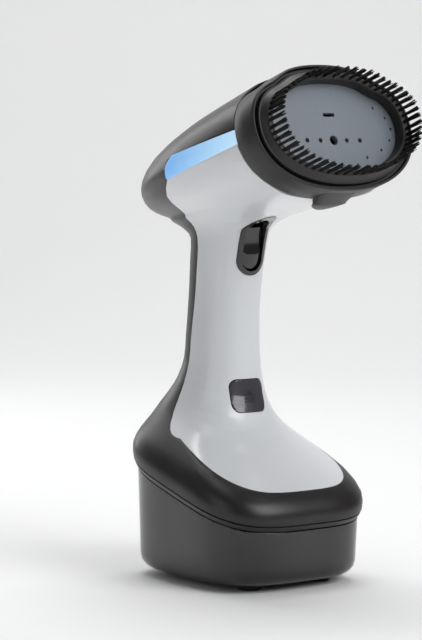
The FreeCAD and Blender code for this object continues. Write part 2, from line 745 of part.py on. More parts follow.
inlet = V(pump_x + 2, 0, hose_level)
PUMP_SCREW_Y = 16.5
bracket = block(V(pump_x - 14, -11, 0), V(pump_x + 14, 11, pump_foot))
bracket = bracket.fuse(block(V(pump_x - 5, -PUMP_SCREW_Y - 4, 0), V(pump_x + 5, PUMP_SCREW_Y + 4, pump_foot)))
bracket = bracket.cut(seam_slab(floor_top - FAR, FAR)).cut(rod(inlet, port + V(0, 0, hose_level), mm("hose_radius")))
pump_screws = []
for side in (-1, 1):
    seat = V(pump_x, side * PUMP_SCREW_Y, pump_foot)
    shank = rod(seat - V(0, 0, 4), seat, mm("screw_radius"))
    bracket = bracket.cut(shank)
    pump_screws.append(rod(seat, seat + V(0, 0, 1.8), mm("screw_head_radius") - 0.4).fuse(shank).Solids[0])
shaped("pump_bracket", solids_of(bracket))
shaped("pump_screws", Part.makeCompound(pump_screws))

hose("suction_hose", [port + V(0, 0, SPIGOT_TOP), port + V(0, 0, hose_level), inlet], [5.0])

along = V(math.cos(math.radians(mm("head_slope"))), 0, math.sin(math.radians(mm("head_slope"))))
neck = V(mm("head_reach"), 0, neck_z())
boiler_back = mm("plate_face") - mm("plate_thickness") - mm("gasket_thickness") - mm("boiler_depth")
hose_end = neck + along * (boiler_back - 4)
riser_corner = hose_end - along * ((hose_end.x - pump_x) / along.x)
hose("pressure_hose", [V(pump_x, 0, pump_top + 3), riser_corner, hose_end], [15.0])


# ---------------------------------------------------------------- boards and inner frame

def plane_of(body, role):
    """One of a body's own origin planes."""
    return [feature for feature in body.Origin.OriginFeatures if feature.Role == role][0]


def sketch_on(body, name, role):
    """A new sketch on one of the body's origin planes."""
    sketch = body.newObject("Sketcher::SketchObject", name)
    sketch.AttachmentSupport = (plane_of(body, role), "")
    sketch.MapMode = "FlatFace"
    return sketch


def draw_rectangle(sketch, width, height):
    """A rectangle about the sketch's origin, its sizes bound to two expressions."""
    half_width, half_height = 10, 10
    corners = [V(-half_width, -half_height), V(half_width, -half_height),
               V(half_width, half_height), V(-half_width, half_height)]
    for start, end in zip(corners, corners[1:] + corners[:1]):
        sketch.addGeometry(Part.LineSegment(start, end), False)
    for line in range(4):
        sketch.addConstraint(Sketcher.Constraint("Coincident", line, 2, (line + 1) % 4, 1))
    for line, kind in enumerate(["Horizontal", "Vertical", "Horizontal", "Vertical"]):
        sketch.addConstraint(Sketcher.Constraint(kind, line))
    sketch.addConstraint(Sketcher.Constraint("Symmetric", 0, 1, 2, 1, -1, 1))
    across = sketch.addConstraint(Sketcher.Constraint("DistanceX", 0, 1, 0, 2, 2 * half_width))
    upward = sketch.addConstraint(Sketcher.Constraint("DistanceY", 1, 1, 1, 2, 2 * half_height))
    sketch.setExpression("Constraints[%d]" % across, width)
    sketch.setExpression("Constraints[%d]" % upward, height)


def draw_circle(sketch, x, y, radius, along_x=None, along_y=None):
    """A circle whose radius, and place where given, are bound to expressions."""
    index = sketch.addGeometry(Part.Circle(V(x, y, 0), V(0, 0, 1), 2.0), False)
    size = sketch.addConstraint(Sketcher.Constraint("Radius", index, 2.0))
    sketch.setExpression("Constraints[%d]" % size, radius)
    for kind, value, expression in (("DistanceX", x, along_x), ("DistanceY", y, along_y)):
        place_index = sketch.addConstraint(Sketcher.Constraint(kind, -1, 1, index, 3, value))
        if expression:
            sketch.setExpression("Constraints[%d]" % place_index, expression)


def board_body(label, width, height, thickness, x, z, holes):
    """An upright plate facing along X: a pad with round holes, standing at a place in the handle frame."""
    body = doc.addObject("PartDesign::Body", label)
    body.Label = label
    outline = sketch_on(body, label + "_outline", "YZ_Plane")
    draw_rectangle(outline, width, height)
    pad = body.newObject("PartDesign::Pad", label + "_pad")
    pad.Profile = outline
    pad.setExpression("Length", thickness)
    doc.recompute()
    if holes:
        drilled = sketch_on(body, label + "_holes", "YZ_Plane")
        for hole_z, radius in holes:
            draw_circle(drilled, 0, hole_z - z, radius)
        pocket = body.newObject("PartDesign::Pocket", label + "_pocket")
        pocket.Profile = drilled
        pocket.Type = "ThroughAll"
        pocket.Midplane = True
        doc.recompute()
    place(body, "handle")
    body.Placement = body.Placement * FreeCAD.Placement(V(x, 0, z), FreeCAD.Rotation())
    return body


board_middle = grip_foot() + 0.38 * mm("grip_length")
BOARD_X = -12.4
board_body("control_board", "Sizes.board_width", "Sizes.board_length", "Sizes.board_thickness", BOARD_X,
           board_middle, [(height, "Sizes.screw_radius + 1.0") for height in screw_heights])
board_body("inner_frame", "Sizes.board_width - 2", "Sizes.board_length + 8", str(FRAME_FRONT - FRAME_BACK),
           FRAME_BACK, board_middle, [(height, "Sizes.screw_radius") for height in screw_heights])

terminal = bound("Part::Box", "terminal_body", Length="6.5", Width="16", Height="8")
at(terminal, "-25", "-8", "Sizes.gland_z + 8")
terminal_lip = bound("Part::Box", "terminal_lip", Length="4", Width="16", Height="4")
at(terminal_lip, "-24", "-8", "Sizes.gland_z + 16")
place(joined("terminal_block", [terminal, terminal_lip]), "handle")


# ---------------------------------------------------------------- head

def oval(x, half_width, half_height, shoulder=0.045):
    """The head's outline in its own frame: an oval with a shallow dip at each upper shoulder."""
    points = []
    steps = 2 * RING_POINTS
    for step in range(steps):
        angle = 2 * math.pi * step / steps
        lean = math.degrees(math.asin(abs(math.sin(angle)))) if math.sin(angle) > 0 else -90
        dip = 1 - shoulder * math.exp(-((lean - 50) / 12) ** 2)
        across = half_width * power(math.cos(angle), 2 / 2.2) * dip
        upward = half_height * power(math.sin(angle), 2 / 2.2) * dip
        points.append(V(x, across, upward))
    return closed_curve(points)


def oval_prism(low_x, high_x, half_width, half_height):
    face = Part.Face(oval(low_x, half_width, half_height))
    return face.extrude(V(high_x - low_x, 0, 0))


half_width = mm("head_width") / 2
half_height = mm("head_height") / 2
tuck = mm("skirt_wall") + mm("part_gap")
collar_face = mm("collar_depth")
collar_ring = oval_prism(0, collar_face, half_width - tuck, half_height - tuck)
spigot_inset = mm("wall") + 1.2
collar_ring = collar_ring.fuse(oval_prism(-mm("collar_spigot"), 0, half_width - spigot_inset,
                                          half_height - spigot_inset - 0.4))
collar_bore_inset = tuck + mm("collar_wall")
collar_ring = collar_ring.cut(oval_prism(-20, 20, half_width - collar_bore_inset, half_height - collar_bore_inset))
shaped("head_collar", solids_of(collar_ring), "head")

WINDOW_LAP = 1.5               # the soleplate runs this far behind the brush's window
plate_half_width = mm("window_width") / 2 + WINDOW_LAP
plate_half_height = mm("window_height") / 2 + WINDOW_LAP
face_x = mm("plate_face")
plate_back = face_x - mm("plate_thickness")
soleplate = oval_prism(plate_back, face_x, plate_half_width, plate_half_height)
HOLE_ROW = -6.3
jets = [(index * mm("hole_spacing"), HOLE_ROW, mm("steam_hole_radius")) for index in (-2, -1, 1, 2)]
jets.append((0, HOLE_ROW, mm("steam_jet_radius")))
RIM_HOLES = 11                 # small holes round the rim, evenly spaced but for the top
for index in range(RIM_HOLES + 1):
    angle = math.radians(40 - 20 * index) if index < 6 else math.radians(140 + 20 * (index - 6))
    jets.append((40.6 * math.cos(angle), 18.2 * math.sin(angle), mm("steam_hole_radius") * 0.6))
for across, upward, radius in jets:
    soleplate = soleplate.cut(rod(V(0, across, upward), V(30, across, upward), radius))
slot = block(V(0, -3.8, 6.6), V(30, 3.8, 8.6))
soleplate = soleplate.cut(slot)
chamber_width = mm("boiler_width") / 2 - mm("chamber_rim")
chamber_height = mm("boiler_height") / 2 - mm("chamber_rim")
screw_places = [(side * (mm("boiler_width") / 2 - 3.6), level) for side in (-1, 1) for level in (-7.5, 7.5)]
for across, upward in screw_places:
    soleplate = soleplate.cut(rod(V(plate_back, across, upward), V(plate_back + 2, across, upward),
                                  mm("plate_screw_radius")))
shaped("soleplate", solids_of(soleplate), "head")

boiler_face = plate_back - mm("gasket_thickness")


def round_plate(label, start, thickness, width_half, height_half):
    """An elliptic plate facing along the nozzle, bound to the sheet."""
    edge = bound("Part::Ellipse", label + "_edge", MajorRadius=width_half, MinorRadius=height_half)
    edge.Placement = FreeCAD.Placement(V(0, 0, 0), FreeCAD.Rotation(V(0, 1, 0), V(0, 0, 1), V(1, 0, 0)))
    edge.setExpression("Placement.Base.x", start)
    plate = bound("Part::Extrusion", label, LengthFwd=thickness)
    plate.Base = edge
    plate.DirMode = "Custom"
    plate.Dir = V(1, 0, 0)
    plate.Solid = True
    return plate


def drill(label, place_y, place_z, start, length, radius):
    """A round bar along the nozzle, for cutting a hole."""
    bar = bound("Part::Cylinder", label, Radius=radius, Height=length)
    bar.Placement = FreeCAD.Placement(V(0, place_y, place_z), FreeCAD.Rotation(V(0, 1, 0), 90))
    bar.setExpression("Placement.Base.x", start)
    return bar


BOILER_FACE = "Sizes.plate_face - Sizes.plate_thickness - Sizes.gasket_thickness"
BOILER_BACK = BOILER_FACE + " - Sizes.boiler_depth"
gasket_outer = round_plate("gasket_outer", BOILER_FACE, "Sizes.gasket_thickness",
                           "Sizes.boiler_width / 2", "Sizes.boiler_height / 2")
gasket_inner = round_plate("gasket_inner", BOILER_FACE + " - 1", "Sizes.gasket_thickness + 2",
                           "Sizes.boiler_width / 2 - Sizes.chamber_rim", "Sizes.boiler_height / 2 - Sizes.chamber_rim")
gasket_holes = [drill("gasket_hole_%d" % index, across, upward, BOILER_FACE + " - 1", "4", "Sizes.plate_screw_radius")
                for index, (across, upward) in enumerate(screw_places)]
place(less("soleplate_gasket", gasket_outer, joined("gasket_cutters", [gasket_inner] + gasket_holes)), "head")

boiler_block = round_plate("boiler_body", BOILER_BACK, "Sizes.boiler_depth",
                           "Sizes.boiler_width / 2", "Sizes.boiler_height / 2")
chamber = round_plate("steam_chamber", BOILER_FACE + " - Sizes.chamber_depth", "Sizes.chamber_depth + 1",
                      "Sizes.boiler_width / 2 - Sizes.chamber_rim", "Sizes.boiler_height / 2 - Sizes.chamber_rim")
boiler_holes = [drill("boiler_hole_%d" % index, across, upward, BOILER_BACK + " - 1", "Sizes.boiler_depth + 2",
                      "Sizes.plate_screw_radius") for index, (across, upward) in enumerate(screw_places)]
water_way = drill("water_way", 0, 0, BOILER_BACK + " - 1", "Sizes.boiler_depth", "Sizes.hose_bore")
place(less("boiler_block", boiler_block, joined("boiler_cutters", [chamber, water_way] + boiler_holes)), "head")

back_x = boiler_face - mm("boiler_depth")
nipple = rod(V(back_x - 4, 0, 0), V(back_x, 0, 0), mm("hose_radius") + 1.5)
nipple = nipple.cut(rod(V(back_x - 9, 0, 0), V(back_x + 9, 0, 0), mm("hose_bore")))
shaped("inlet_nipple", nipple.Solids[0], "head")

plate_screws = []
for across, upward in screw_places:
    shank = rod(V(back_x, across, upward), V(plate_back + 2, across, upward), mm("plate_screw_radius"))
    cap = rod(V(back_x - 2.4, across, upward), V(back_x, across, upward), mm("plate_screw_radius") + 1.4)
    plate_screws.append(shank.fuse(cap).Solids[0])
shaped("soleplate_screws", Part.makeCompound(plate_screws), "head")

element_radius = mm("element_radius")
element_x = back_x - element_radius
loop_height = 11.0
loop_half = 16.0
run_left = rod(V(element_x, -loop_half, loop_height), V(element_x, loop_half, loop_height), element_radius)
run_right = rod(V(element_x, -loop_half, -loop_height), V(element_x, loop_half, -loop_height), element_radius)
bend = Part.makeTorus(loop_height, element_radius, V(element_x, loop_half, 0), V(1, 0, 0))
bend = bend.common(block(V(element_x - 9, loop_half, -FAR), V(element_x + 9, FAR, FAR)))
element = run_left.fuse(run_right).fuse(bend)
shaped("heating_element", element.Solids[0], "head")

shield_x = element_x - element_radius - 3.0
shield = oval_prism(shield_x, shield_x + mm("shield_thickness"), 39, 23)
shield = shield.cut(rod(V(shield_x - 5, 0, 0), V(shield_x + 5, 0, 0), mm("hose_radius") + 1.5))
shaped("heat_shield", shield.Solids[0], "head")

thermostat = bound("Part::Cylinder", "thermostat_can", Radius="Sizes.thermostat_radius", Height="Sizes.thermostat_height")
at(thermostat, BOILER_FACE + " - Sizes.boiler_depth / 2", "0", "Sizes.boiler_height / 2 + 0.05")
terminals = [at(bound("Part::Box", "thermostat_tab_%d" % index, Length="0.8", Width="6", Height="3"),
                BOILER_FACE + " - Sizes.boiler_depth / 2 + %d" % offset, "-3",
                "Sizes.boiler_height / 2 + Sizes.thermostat_height") for index, offset in enumerate((-4, 4))]
place(joined("thermostat", [thermostat] + terminals), "head")

fuse_case = bound("Part::Cylinder", "fuse_case", Radius="Sizes.fuse_radius", Height="Sizes.fuse_length")
fuse_case.Placement = FreeCAD.Placement(V(0, 16, 0), FreeCAD.Rotation(V(0, 1, 0), 90))
fuse_case.setExpression("Placement.Base.x", BOILER_FACE + " - Sizes.boiler_depth / 2 - Sizes.fuse_length / 2")
fuse_case.setExpression("Placement.Base.z", "Sizes.boiler_height / 2 + Sizes.fuse_radius")
place(joined("thermal_fuse", [fuse_case, at(bound("Part::Box", "fuse_clip", Length="4", Width="7", Height="0.8"),
      BOILER_FACE + " - Sizes.boiler_depth / 2 - 2", "12.5", "Sizes.boiler_height / 2 + 2 * Sizes.fuse_radius - 0.4")]),
      "head")

lamp_boards = [at(bound("Part::Box", "lamp_board_%d" % index, Length="40", Width="1.2", Height="7"),
                  "-58", "%g" % (side * 43 - 0.6), "-2") for index, side in enumerate((-1, 1))]
lamps = doc.addObject("Part::Compound", "lamp_boards")
lamps.Label = "lamp_boards"
lamps.Links = lamp_boards
place(lamps, "head")


# ---------------------------------------------------------------- brush

skirt_x = mm("part_gap")
rim_x = mm("rim_depth")
crown_x = mm("brush_depth")
window_w = mm("window_width") / 2
window_h = mm("window_height") / 2
BORDER = 2.2                   # crown between the window and its outer edge, half of it inside the tufts
frame_solid = oval_prism(skirt_x, rim_x, half_width, half_height)
crown = Part.makeLoft([oval(rim_x, half_width - 2.2, half_height - 2.2),
                       oval(crown_x, window_w + 2 * BORDER, window_h + 2 * BORDER)], True, True)
frame_solid = frame_solid.fuse(crown)
hidden_face = collar_face + mm("part_gap")
frame_solid = frame_solid.cut(oval_prism(skirt_x - 1, hidden_face, half_width - mm("skirt_wall"),
                                         half_height - mm("skirt_wall")))
frame_solid = frame_solid.cut(oval_prism(0, face_x + 0.4, plate_half_width + 0.7, plate_half_height + 0.7))
frame_solid = frame_solid.cut(oval_prism(0, crown_x + 5, window_w, window_h))
TAB_HALF = 11.0                # half the width of the thumb tab at its root
TAB_REACH = 10.3               # how far it runs back under the head
TAB_DROP = 0.85                # its upper face is this far under the skirt, clear of the cover as the brush slides
side_view = polygon([
    V(rim_x - 4, 0, -half_height + 1),
    V(skirt_x + 1.2, 0, -half_height + 1),
    V(skirt_x, 0, -half_height - TAB_DROP),
    V(skirt_x - TAB_REACH + 0.8, 0, -half_height - TAB_DROP),
    V(skirt_x - TAB_REACH, 0, -half_height - TAB_DROP - 0.6),
    V(skirt_x - TAB_REACH + 0.5, 0, -half_height - TAB_DROP - 1.3),
    V(skirt_x + 1, 0, -half_height - TAB_DROP - 1.8),
    V(rim_x - 4, 0, -half_height - 0.3),
])
plan = [V(rim_x - 3, TAB_HALF + 2, 0), V(skirt_x, TAB_HALF, 0), V(skirt_x - TAB_REACH * 0.5, TAB_HALF * 0.72, 0),
        V(skirt_x - TAB_REACH * 0.88, TAB_HALF * 0.4, 0), V(skirt_x - TAB_REACH, 0, 0)]
plan += [V(point.x, -point.y, 0) for point in reversed(plan[:-1])]
tab_face = Part.Face(Part.Wire([smooth(plan), Part.makeLine(plan[-1], plan[0])]))
tab_face.translate(V(0, 0, -half_height - 20))
tab = side_prism(side_view).common(tab_face.extrude(V(0, 0, 40)))
tab = tab.cut(oval_prism(-20, hidden_face + 1, half_width - mm("skirt_wall"), half_height - mm("skirt_wall")))
frame_solid = frame_solid.fuse(tab)
shaped("brush_frame", solids_of(frame_solid), "head")

tufts = []
for index in range(int(mm("tuft_count"))):
    angle = 2 * math.pi * (index + 0.5) / mm("tuft_count")
    across = (window_w + BORDER) * power(math.cos(angle), 2 / 2.2)
    upward = (window_h + BORDER) * power(math.sin(angle), 2 / 2.2)
    root = V(crown_x, across, upward)
    tufts.append(rod(root, root + V(mm("tuft_length"), 0, 0), mm("tuft_radius")))
shaped("brush_bristles", Part.makeCompound(tufts), "head")


# ---------------------------------------------------------------- tank

def level_ring(z, inset):
    """A level section of the tank, inset from the base's outline."""
    length, width = mm("base_length") * 0.98, mm("base_width") * 0.98
    middle = mm("base_middle")
    reach = length / 2 - inset
    return ring((middle - reach, z, middle + reach, z, middle, width / 2 - inset, 3.6, 3.6))


def tank_solid(inset):
    """The tank's outline up to the seam: rounded below, drawn in a little towards the floor."""
    foot = mm("foot_height") + inset
    corner = mm("tank_corner")
    draft = 1.6
    rings = []
    for step in range(5):
        angle = math.pi / 2 * step / 4
        edge = corner * (1 - math.sin(angle)) + draft + inset
        rings.append(level_ring(foot + corner * (1 - math.cos(angle)), edge))
    rim = list(base_section(-mm("part_gap"), mm("seam_slope"), 0.98, 1, 3.6))
    rings.append(ring(rim, inset))
    return Part.makeLoft(rings, True, True)


tank_outer = tank_solid(0)
tank_inner = tank_solid(mm("tank_wall"))
tank = tank_outer.cut(tank_inner)
fill = V(0, 0, mm("filler_middle"))
rear_x = mm("base_middle") - mm("base_length") * 0.49
NECK_OUT = 1.0
neck_ring = rod(fill + V(rear_x - NECK_OUT, 0, 0), fill + V(rear_x + 7, 0, 0), mm("filler_radius") + 2.2)
tank = tank.fuse(neck_ring)
hinge = V(rear_x - 4.2, 0, mm("filler_middle") - mm("filler_radius") - 4.8)
for side in (-1, 1):
    ear = block(V(hinge.x - 2.6, 6.2, hinge.z - 2.6), V(rear_x + 4, 9.2, hinge.z + 2.6))
    if side < 0:
        ear = ear.mirror(V(0, 0, 0), V(0, 1, 0))
    tank = tank.fuse(ear)
hinge_axis = (hinge - V(0, 30, 0), hinge + V(0, 30, 0))
tank = tank.cut(rod(fill + V(rear_x - 9, 0, 0), fill + V(rear_x + 9, 0, 0), mm("filler_radius")))
tank = tank.cut(rod(*hinge_axis, 1.0))
shaped("water_tank", solids_of(tank))
shaped("filler_pin", rod(hinge - V(0, 9.2, 0), hinge + V(0, 9.2, 0), 1.0))

cap_x = rear_x - NECK_OUT - 0.4
seal = rod(fill + V(cap_x - 1.2, 0, 0), fill + V(cap_x, 0, 0), mm("filler_radius") + 1.8)
plug_radius = mm("filler_radius") - 0.8
seal = seal.cut(rod(fill + V(cap_x - 9, 0, 0), fill + V(cap_x + 9, 0, 0), plug_radius))
shaped("filler_seal", seal.Solids[0])
cap = rod(fill + V(cap_x - 1.2 - mm("cap_thickness"), 0, 0), fill + V(cap_x - 1.2, 0, 0), mm("filler_radius") + 2.2)
cap = cap.fuse(rod(fill + V(cap_x - 2, 0, 0), fill + V(cap_x + 3, 0, 0), plug_radius))
tongue = block(V(cap_x - 1.2 - mm("cap_thickness"), -4, hinge.z), V(cap_x - 1.2, 4, fill.z - 4))
knuckle = rod(hinge - V(0, 5.8, 0), hinge + V(0, 5.8, 0), 2.4)
cap = cap.fuse(tongue).fuse(knuckle).cut(rod(*hinge_axis, 1.0 + mm("pin_gap")))
grip_tab = block(V(cap_x - 1.2 - mm("cap_thickness"), -5, fill.z + 8), V(cap_x - 1.6, 5, fill.z + 16.5))
cap = cap.fuse(grip_tab)
shaped("filler_cap", solids_of(cap))

COVER_DROP = 3.0
cover = seam_slab(-COVER_DROP, 2.0).common(tank_inner)
boss_top = SPIGOT_FOOT + 5
boss_foot = seam_z(port.x) - COVER_DROP - 4
TUBE_TOP = SPIGOT_FOOT - 1.5
boss = rod(port + V(0, 0, boss_foot), port + V(0, 0, boss_top), port_outer)
catch = block(V(CATCH_BACK, -6.6, seam_z(CATCH_BACK) - COVER_DROP - 3), V(CATCH_FRONT, 6.6, NOSE_Z + 4))
catch = catch.cut(block(V(0, -4.5, seam_z(CATCH_BACK) - COVER_DROP + 1.5), V(FAR, 4.5, NOSE_Z + NOSE_GAP)))
cover = cover.fuse(boss).fuse(catch)
cover = cover.cut(rod(port + V(0, 0, TUBE_TOP), port + V(0, 0, FAR), mm("port_bore")))
cover = cover.cut(rod(port, port + V(0, 0, TUBE_TOP + 0.01), mm("tube_radius")))
seal_ring = Part.makeTorus(mm("port_bore") + 0.2, mm("seal_section") / 2, port + V(0, 0, boss_top - 1.6))
cover = cover.cut(seal_ring)
shaped("tank_cover", solids_of(cover))
shaped("tank_seal", seal_ring)

FILTER_FOOT = mm("foot_height") + mm("tank_wall") + 1.2
tube = rod(port + V(0, 0, FILTER_FOOT + 3), port + V(0, 0, TUBE_TOP), mm("tube_radius"))
tube = tube.cut(rod(port, port + V(0, 0, FAR), mm("tube_bore")))
shaped("intake_tube", tube.Solids[0])
filter_cup = rod(port + V(0, 0, FILTER_FOOT), port + V(0, 0, FILTER_FOOT + mm("filter_height")), mm("filter_radius"))
filter_cup = filter_cup.cut(rod(port + V(0, 0, FILTER_FOOT + 3), port + V(0, 0, FAR), mm("tube_radius")))
filter_cup = filter_cup.cut(rod(port, port + V(0, 0, FAR), mm("tube_bore")))
for step in range(8):
    angle = math.pi * step / 4
    edge = V(math.cos(angle), math.sin(angle), 0) * mm("filter_radius")
    filter_cup = filter_cup.cut(rod(port + edge + V(0, 0, FILTER_FOOT - 1), port + edge + V(0, 0, FILTER_FOOT + 6), 1.0))
shaped("intake_filter", filter_cup.Solids[0])

FOOT_X = 33.0
FOOT_Y = 24.0
feet = []
for side_x in (-1, 1):
    for side_y in (-1, 1):
        low = V(mm("base_middle") + side_x * FOOT_X, side_y * FOOT_Y, 0)
        foot = Part.makeCone(mm("foot_radius") - 1.5, mm("foot_radius"), mm("foot_height"), low)
        feet.append(foot)
shaped("tank_feet", Part.makeCompound(feet))


# ---------------------------------------------------------------- check and write

doc.recompute()
for item in doc.Objects:
    if "Invalid" in item.State or "Error" in item.State:
        raise RuntimeError("%s did not compute: %s" % (item.Label, item.State))
os.makedirs("parts", exist_ok=True)
for piece in pieces:
    shape = piece.Shape
    if shape.isNull() or not shape.isValid() or not shape.Solids:
        raise RuntimeError("%s has no valid solid" % piece.Label)
for piece in pieces:
    piece.Shape.exportStep("parts/%s.step" % piece.Label)
    box = piece.Shape.optimalBoundingBox(False)
    print("%-20s %2d solids %9.0f mm3  x %7.1f %7.1f  y %6.1f %6.1f  z %6.1f %6.1f" % (
        piece.Label, len(piece.Shape.Solids), piece.Shape.Volume,
        box.XMin, box.XMax, box.YMin, box.YMax, box.ZMin, box.ZMax))
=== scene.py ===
"""Looks of a handheld garment steamer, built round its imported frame. Metres, +Z up, +X towards the soleplate."""
import json
import math
import random

import bpy
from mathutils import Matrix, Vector
from mathutils.bvhtree import BVHTree


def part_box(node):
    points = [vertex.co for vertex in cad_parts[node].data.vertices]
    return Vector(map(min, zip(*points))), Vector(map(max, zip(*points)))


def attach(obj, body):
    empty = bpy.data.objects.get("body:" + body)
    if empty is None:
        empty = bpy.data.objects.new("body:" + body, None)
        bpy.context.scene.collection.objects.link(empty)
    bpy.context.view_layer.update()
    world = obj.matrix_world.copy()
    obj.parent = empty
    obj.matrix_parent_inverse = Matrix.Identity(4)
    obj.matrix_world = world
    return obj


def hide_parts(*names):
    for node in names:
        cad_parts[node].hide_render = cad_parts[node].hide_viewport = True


bl_info = {
    "name": "Garment steamer",
    "version": (1, 0, 0),
    "blender": (4, 5, 0),
    "location": "3D View > Sidebar > Steamer",
    "description": "Finishes, brush, controls and studio of a handheld garment steamer",
    "category": "Object",
}

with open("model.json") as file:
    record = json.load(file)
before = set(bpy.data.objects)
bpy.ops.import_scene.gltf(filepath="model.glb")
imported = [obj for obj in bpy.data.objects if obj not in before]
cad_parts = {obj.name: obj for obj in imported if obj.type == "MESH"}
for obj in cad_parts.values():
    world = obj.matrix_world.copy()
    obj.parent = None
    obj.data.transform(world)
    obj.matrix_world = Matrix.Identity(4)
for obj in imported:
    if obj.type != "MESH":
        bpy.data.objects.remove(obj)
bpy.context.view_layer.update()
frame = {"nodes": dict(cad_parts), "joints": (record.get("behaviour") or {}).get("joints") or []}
NODES = frame["nodes"]
MM = 0.001


def linear(code):
    """An sRGB hex value as linear red, green and blue."""
    shares = [int(code[start:start + 2], 16) / 255 for start in (1, 3, 5)]
    return tuple(s / 12.92 if s <= 0.04045 else ((s + 0.055) / 1.055) ** 2.4 for s in shares)


def per_metre(millimetres):
    """How often a pattern of that size repeats in a metre."""
    return 1000.0 / millimetres


# ---------------------------------------------------------------- what a user can change

class SteamerColours(bpy.types.PropertyGroup):
    """Colours of the main finishes."""

    panel: bpy.props.FloatVectorProperty(
        name="Panel", description="Pearl lacquer of the front cover", subtype="COLOR", default=linear("#DADCDF"))
    shell: bpy.props.FloatVectorProperty(
        name="Shell", description="Moulded plastic of the rear cover, base and brush", subtype="COLOR",
        default=linear("#151011"))
    tank: bpy.props.FloatVectorProperty(
        name="Tank", description="Smoke tint of the water tank", subtype="COLOR", default=linear("#221A20"))
    plate: bpy.props.FloatVectorProperty(
        name="Soleplate", description="Ceramic coat of the soleplate", subtype="COLOR", default=linear("#7C848D"))
    glow: bpy.props.FloatVectorProperty(
        name="Light strip", description="Glow at the rear of the light strips", subtype="COLOR",
        default=linear("#5AA2E6"))


class SteamerSizes(bpy.types.PropertyGroup):
    """Sizes of the pieces made here."""

    tufts: bpy.props.IntProperty(name="Tufts", description="Bristle tufts round the brush", default=56, min=8)
    strands: bpy.props.IntProperty(name="Strands", description="Bristles in one tuft", default=22, min=4)
    tuft_length: bpy.props.FloatProperty(
        name="Tuft length", description="From the crown to the tips", default=12.6 * MM, unit="LENGTH")
    tuft_radius: bpy.props.FloatProperty(
        name="Tuft radius", description="Of a tuft at its root", default=0.75 * MM, unit="LENGTH")
    edge: bpy.props.FloatProperty(
        name="Edge", description="Rounding of moulded edges", default=0.45 * MM, unit="LENGTH")


# ---------------------------------------------------------------- materials

def add(tree, kind, values=None, links=None, **settings):
    """Add a node with its settings, input values and links from other nodes' outputs."""
    node = tree.nodes.new(kind)
    for name, value in settings.items():
        setattr(node, name, value)
    for name, value in (values or {}).items():
        node.inputs[name].default_value = value
    for name, source in (links or {}).items():
        tree.links.new(source, node.inputs[name])
    return node


def blank(name):
    """An empty material: itself, its tree, and the object's own coordinates in metres."""
    material = bpy.data.materials.new(name)
    material.use_nodes = True
    tree = material.node_tree
    tree.nodes.clear()
    return material, tree, add(tree, "ShaderNodeTexCoord").outputs["Object"]


MIX_A, MIX_B, MIX_RESULT = 6, 7, 2     # the colour sockets of a Mix node


def opaque(colour):
    """A colour with full alpha."""
    return (*colour, 1.0)


def shade(colour, factor):
    """A colour made lighter or darker."""
    return tuple(min(1.0, channel * factor) for channel in colour)


def grained(name, colour, grain, contrast, rough, rough_spread, bump, **shader_values):
    """A finish whose colour, gloss and relief vary by one grain, its size in millimetres."""
    material, tree, place = blank(name)
    speck = add(tree, "ShaderNodeTexNoise", {"Scale": per_metre(grain), "Detail": 3.0}, {"Vector": place})
    cloud = add(tree, "ShaderNodeTexNoise", {"Scale": per_metre(grain * 40), "Detail": 2.0}, {"Vector": place})
    mixed = add(tree, "ShaderNodeMix", {MIX_A: opaque(shade(colour, 1 - contrast)),
                                        MIX_B: opaque(shade(colour, 1 + contrast))},
                {0: speck.outputs["Fac"]}, data_type="RGBA")
    gloss = add(tree, "ShaderNodeMapRange", {"To Min": rough - rough_spread, "To Max": rough + rough_spread},
                {"Value": cloud.outputs["Fac"]})
    relief = add(tree, "ShaderNodeBump", {"Strength": bump, "Distance": 0.0002}, {"Height": speck.outputs["Fac"]})
    shader = add(tree, "ShaderNodeBsdfPrincipled", shader_values,
                 {"Base Color": mixed.outputs[MIX_RESULT], "Roughness": gloss.outputs["Result"],
                  "Normal": relief.outputs["Normal"]})
    add(tree, "ShaderNodeOutputMaterial", links={"Surface": shader.outputs[0]})
    return material


def light_guide(name, glow):
    """Polycarbonate light guide, moulded: pale at the lamp end, a deeper blue towards the rear, lit from behind."""
    material, tree, place = blank(name)
    rear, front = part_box("light_strip_left")[0].x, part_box("light_strip_left")[1].x
    apart = add(tree, "ShaderNodeSeparateXYZ", links={"Vector": place})
    along = add(tree, "ShaderNodeMapRange", {"From Min": rear, "From Max": front}, {"Value": apart.outputs["X"]})
    ripple = add(tree, "ShaderNodeTexNoise", {"Scale": per_metre(7), "Detail": 2.0}, {"Vector": place})
    share = add(tree, "ShaderNodeMath", {1: 0.14}, {0: ripple.outputs["Fac"], 2: along.outputs["Result"]},
                operation="MULTIPLY_ADD")
    colour = add(tree, "ShaderNodeMix", {MIX_A: opaque(glow), MIX_B: opaque(linear("#C4E8FF"))},
                 {0: share.outputs[0]}, data_type="RGBA")
    shader = add(tree, "ShaderNodeBsdfPrincipled",
                 {"Base Color": opaque(linear("#4A6C90")), "Roughness": 0.22, "IOR": 1.58,
                  "Emission Strength": 0.8, "Coat Weight": 0.3}, {"Emission Color": colour.outputs[MIX_RESULT]})
    add(tree, "ShaderNodeOutputMaterial", links={"Surface": shader.outputs[0]})
    return material


